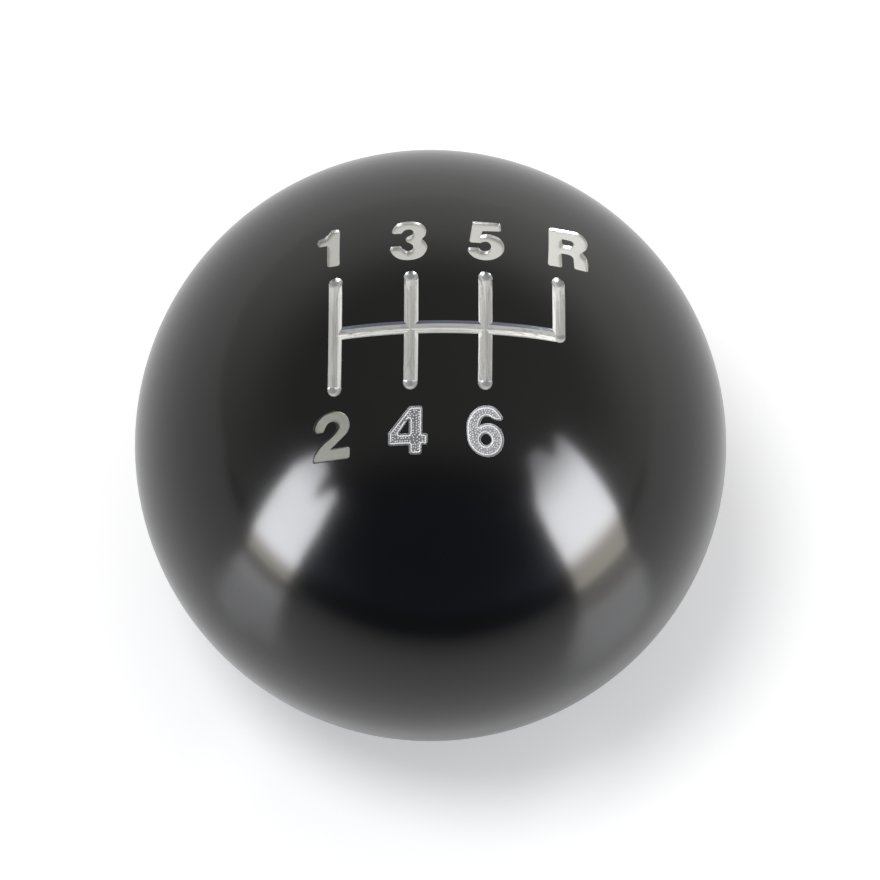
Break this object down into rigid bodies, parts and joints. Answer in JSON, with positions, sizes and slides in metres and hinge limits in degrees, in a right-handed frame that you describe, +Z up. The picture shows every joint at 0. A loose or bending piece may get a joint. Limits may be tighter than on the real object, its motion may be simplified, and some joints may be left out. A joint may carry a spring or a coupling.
{
  "type": "gear shift knob",
  "caption": "Ball shift knob with a milled six-speed shift gate, a flat foot and a threaded sleeve that screws onto a gear lever.",
  "frame": {"origin": "centre of the ball's flat foot, on the lever's axis", "axes": "+Z up the lever's axis through the shift gate, +Y to the front of the car, where the first, third, fifth and reverse slots end, +X to the right"},
  "size_m": [0.0508, 0.0508, 0.0478],
  "materials": {
    "black_anodised": "satin black anodised over turned aluminium, with bare milled aluminium in the shift gate and the figures",
    "brass": "turned",
    "black_steel": "black oxide"
  },
  "bodies": {
    "root": {"ball": "black_anodised", "sleeve": "brass", "set_screw": "black_steel"}
  },
  "joints": []
}
